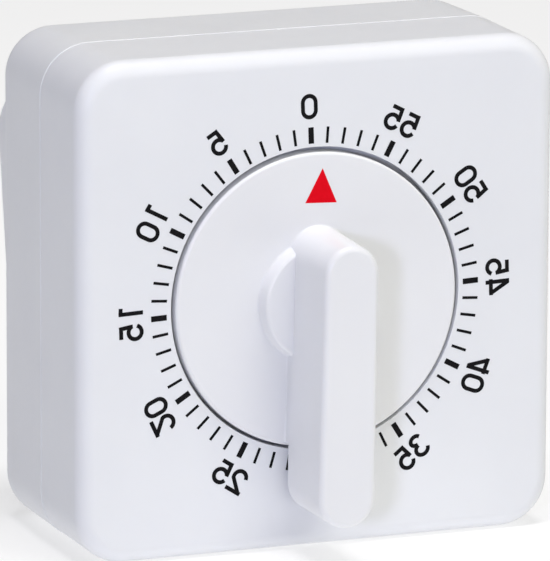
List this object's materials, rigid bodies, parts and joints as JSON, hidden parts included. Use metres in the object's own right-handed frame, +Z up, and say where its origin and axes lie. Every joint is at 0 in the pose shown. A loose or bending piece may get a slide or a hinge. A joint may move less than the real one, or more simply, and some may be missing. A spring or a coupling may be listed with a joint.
{
  "type": "lab timer",
  "caption": "Square white wind-up timer with a turning disc, bar grip and bell, driven by a spring movement with a lever escapement.",
  "frame": {"origin": "middle of the flat base, on the surface it stands on", "axes": "+Z up, the dial faces -Y, +X to the right seen from the front"},
  "size_m": [0.071, 0.0569, 0.0708],
  "materials": {
    "case_front": "white moulded plastic, very fine texture, semi-matt",
    "case_rear": "white moulded plastic, very fine texture, semi-matt",
    "knob": "white moulded plastic, smooth, semi-gloss",
    "brass": "stamped brass",
    "steel": "turned steel",
    "plate": "zinc-plated sheet steel",
    "spring": "blued spring steel",
    "screw": "zinc-plated",
    "bell": "nickel-plated",
    "scale_ink": "black printing ink",
    "pointer_ink": "red printing ink"
  },
  "bodies": {
    "case": {"front_housing": "case_front", "rear_housing": "case_rear", "case_screws": "screw", "front_plate": "plate", "rear_plate": "plate", "plate_pillars": "steel", "pillar_screws": "screw", "movement_screws": "screw", "spring_post": "steel", "mainspring": "spring", "hairspring_stud": "steel", "hairspring": "spring", "release_stud": "steel", "gong": "bell", "gong_post": "steel", "gong_screw": "screw"},
    "knob": {"knob": "knob", "main_arbor": "steel", "release_cam": "brass", "ratchet_wheel": "brass"},
    "main_wheel": {"main_wheel": "brass", "click_stud": "steel", "click_spring": "spring"},
    "click": {"click": "steel"},
    "second_arbor": {"second_pinion": "steel", "second_wheel": "brass", "strike_wheel": "brass"},
    "third_arbor": {"third_pinion": "steel", "third_wheel": "brass"},
    "escape_arbor": {"escape_pinion": "steel", "escape_wheel": "brass"},
    "lever": {"pallet_arbor": "steel", "pallet_lever": "brass"},
    "balance": {"balance_staff": "steel", "balance_wheel": "brass"},
    "hammer": {"hammer_arbor": "steel", "hammer": "steel", "hammer_tail": "steel", "hammer_stop": "steel"},
    "release": {"release_lever": "brass"}
  },
  "joints": [
    {"name": "knob_turn", "type": "hinge", "parent": "case", "child": "knob", "pos_m": [-0.00045, 0, 0.0354], "axis": [0, -1, 0], "range_deg": [0, 360], "deforming": ["mainspring"]},
    {"name": "main_wheel_turn", "type": "hinge", "parent": "case", "child": "main_wheel", "pos_m": [-0.00045, 0, 0.0354], "axis": [0, -1, 0], "range_deg": [0, 360]},
    {"name": "click_lift", "type": "hinge", "parent": "main_wheel", "child": "click", "pos_m": [0.00563, 0, 0.04148], "axis": [0, -1, 0], "range_deg": [-12, 0], "stiffness_Nm_per_rad": 0.00002, "deforming": ["click_spring"]},
    {"name": "second_turn", "type": "hinge", "parent": "case", "child": "second_arbor", "pos_m": [-0.01689, 0, 0.02941], "axis": [0, -1, 0], "range_deg": [-2160, 0]},
    {"name": "third_turn", "type": "hinge", "parent": "case", "child": "third_arbor", "pos_m": [-0.00886, 0, 0.01795], "axis": [0, -1, 0], "range_deg": [0, 12960]},
    {"name": "escape_turn", "type": "hinge", "parent": "case", "child": "escape_arbor", "pos_m": [0.00334, 0, 0.01901], "axis": [0, -1, 0], "range_deg": [-77760, 0]},
    {"name": "lever_rock", "type": "hinge", "parent": "case", "child": "lever", "pos_m": [0.01104, 0, 0.01901], "axis": [0, -1, 0], "range_deg": [-4, 4]},
    {"name": "balance_swing", "type": "hinge", "parent": "case", "child": "balance", "pos_m": [0.01923, 0, 0.02475], "axis": [0, -1, 0], "range_deg": [-150, 150], "stiffness_Nm_per_rad": 0.000008, "deforming": ["hairspring"]},
    {"name": "hammer_swing", "type": "hinge", "parent": "case", "child": "hammer", "pos_m": [-0.01495, 0, 0.0449], "axis": [0, -1, 0], "range_deg": [-6, 2], "stiffness_Nm_per_rad": 0.001},
    {"name": "release_drop", "type": "hinge", "parent": "case", "child": "release", "pos_m": [-0.00795, 0, 0.0469], "axis": [0, -1, 0], "range_deg": [-5, 0], "stiffness_Nm_per_rad": 0.0004}
  ],
  "couplings": [
    {"joint": "main_wheel_turn", "follows": "knob_turn", "ratio": 1},
    {"joint": "second_turn", "follows": "knob_turn", "ratio": -6},
    {"joint": "third_turn", "follows": "knob_turn", "ratio": 36},
    {"joint": "escape_turn", "follows": "knob_turn", "ratio": -216}
  ]
}
